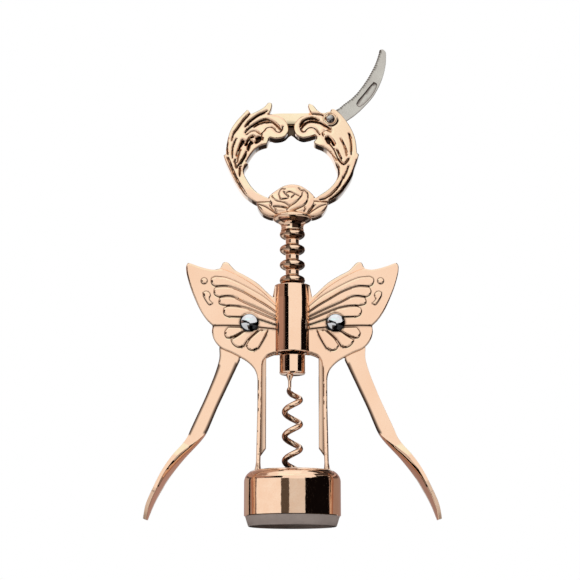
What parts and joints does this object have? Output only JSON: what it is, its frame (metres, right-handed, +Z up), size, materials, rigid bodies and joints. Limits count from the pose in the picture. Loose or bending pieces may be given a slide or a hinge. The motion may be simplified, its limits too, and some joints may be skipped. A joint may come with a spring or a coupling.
{
  "type": "wing corkscrew",
  "caption": "Wing corkscrew with a butterfly frame, geared levers, ring rack, worm, rose handle with a bottle opening and a folding foil blade.",
  "frame": {"origin": "centre of the bell's lower rim, which is the bottom centre of the bounding box", "axes": "+Z up along the worm, +X to the right seen from the front, the decorated front faces -Y"},
  "size_m": [0.1104, 0.036, 0.1861],
  "materials": {
    "rose_gold": "mirror-polished rose-gold plate on cast zinc",
    "chrome": "polished",
    "blade_steel": "satin, fine grain",
    "insert_plastic": "matte grey-brown"
  },
  "bodies": {
    "frame": {"frame_casting": "rose_gold", "bell_insert": "insert_plastic", "pivot_rivet_left": "chrome", "pivot_rivet_right": "chrome", "rivet_pin_left": "chrome", "rivet_pin_right": "chrome"},
    "lever_left": {"lever_left": "rose_gold"},
    "lever_right": {"lever_right": "rose_gold"},
    "rack": {"ring_rack": "rose_gold"},
    "handle": {"handle": "rose_gold", "drive_shaft": "rose_gold", "worm": "rose_gold", "blade_rivet": "chrome"},
    "blade": {"foil_blade": "blade_steel"}
  },
  "joints": [
    {"name": "lever_left_hinge", "type": "hinge", "parent": "frame", "child": "lever_left", "pos_m": [-0.0163, 0, 0.0763], "axis": [0, 1, 0], "range_deg": [-20, 106]},
    {"name": "lever_right_hinge", "type": "hinge", "parent": "frame", "child": "lever_right", "pos_m": [0.0163, 0, 0.0763], "axis": [0, -1, 0], "range_deg": [-20, 106]},
    {"name": "rack_slide", "type": "slide", "parent": "frame", "child": "rack", "axis": [0, 0, 1], "range_m": [-0.02297, 0.00434]},
    {"name": "handle_spin", "type": "hinge", "parent": "rack", "child": "handle", "pos_m": [0, 0, 0.1], "axis": [0, 0, -1], "continuous": true},
    {"name": "blade_hinge", "type": "hinge", "parent": "handle", "child": "blade", "pos_m": [0.01475, 0, 0.15641], "axis": [0, -1, 0], "range_deg": [0, 127]}
  ],
  "couplings": [
    {"joint": "lever_right_hinge", "follows": "lever_left_hinge", "ratio": 1},
    {"joint": "rack_slide", "follows": "lever_left_hinge", "m_per_rad": -0.012414}
  ]
}
